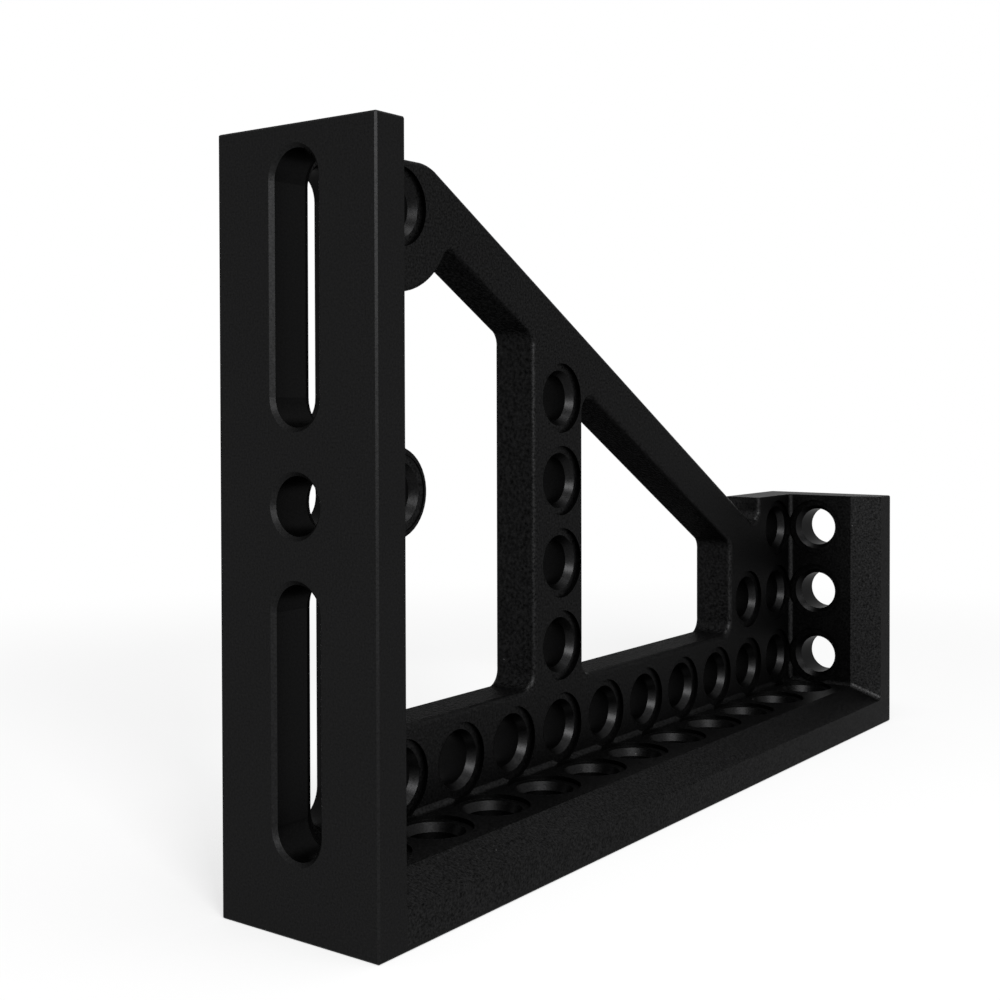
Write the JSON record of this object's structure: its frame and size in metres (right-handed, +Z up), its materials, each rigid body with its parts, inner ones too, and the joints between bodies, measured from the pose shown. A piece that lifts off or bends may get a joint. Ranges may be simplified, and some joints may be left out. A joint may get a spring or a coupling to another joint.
{
  "type": "welding table angle",
  "caption": "Cast stop and clamping angle for a bored welding table, with a tall slotted plate, a base, an end flange and an open web.",
  "frame": {"origin": "middle of the base's underside, under the middle of the length and of the width", "axes": "+X from the tall plate to the end flange, +Y from the free edges to the web, +Z up the tall plate"},
  "size_m": [0.6, 0.1, 0.375],
  "materials": {
    "nitrided_iron": "black nitrided; outer faces finely ground, inner faces and window walls with a sand-cast grain"
  },
  "bodies": {
    "root": {"clamping_angle": "nitrided_iron"}
  },
  "joints": []
}
